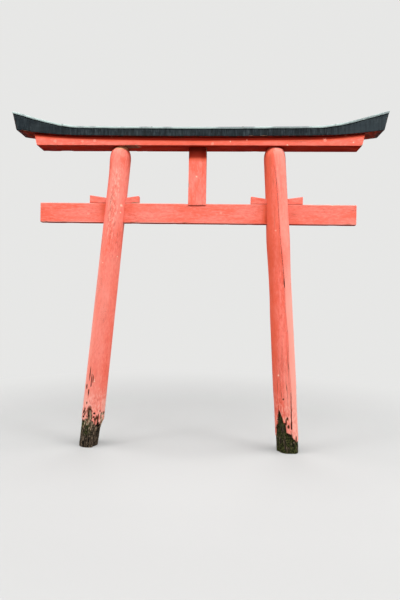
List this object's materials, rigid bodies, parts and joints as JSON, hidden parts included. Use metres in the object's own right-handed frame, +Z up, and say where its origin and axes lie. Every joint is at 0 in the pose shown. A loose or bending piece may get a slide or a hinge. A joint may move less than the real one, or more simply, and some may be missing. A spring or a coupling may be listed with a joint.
{
  "type": "torii gate",
  "caption": "Two-pillar timber shrine gate with leaning round pillars, wedged tie beam, centre strut and an upturned double lintel under sheet metal capping.",
  "frame": {"origin": "centre of the left pillar's foot, on the ground", "axes": "+X from the left pillar's foot to the right pillar's foot, +Y from the front of the gate to its back, +Z up"},
  "size_m": [3.9997, 0.2556, 3.6155],
  "materials": {
    "vermilion_timber": "weathered vermilion paint on timber",
    "black_timber": "weathered black paint on timber, underside vermilion",
    "cap_sheet": "dull grey-green weathered sheet"
  },
  "bodies": {
    "root": {"left_pillar": "vermilion_timber", "right_pillar": "vermilion_timber", "tie_beam": "vermilion_timber", "left_outer_wedge": "vermilion_timber", "left_inner_wedge": "vermilion_timber", "right_inner_wedge": "vermilion_timber", "right_outer_wedge": "vermilion_timber", "centre_strut": "vermilion_timber", "lower_lintel": "vermilion_timber", "upper_lintel": "black_timber", "cap_length_1": "cap_sheet", "cap_length_2": "cap_sheet", "cap_length_3": "cap_sheet", "cap_length_4": "cap_sheet", "cap_length_5": "cap_sheet"}
  },
  "joints": []
}
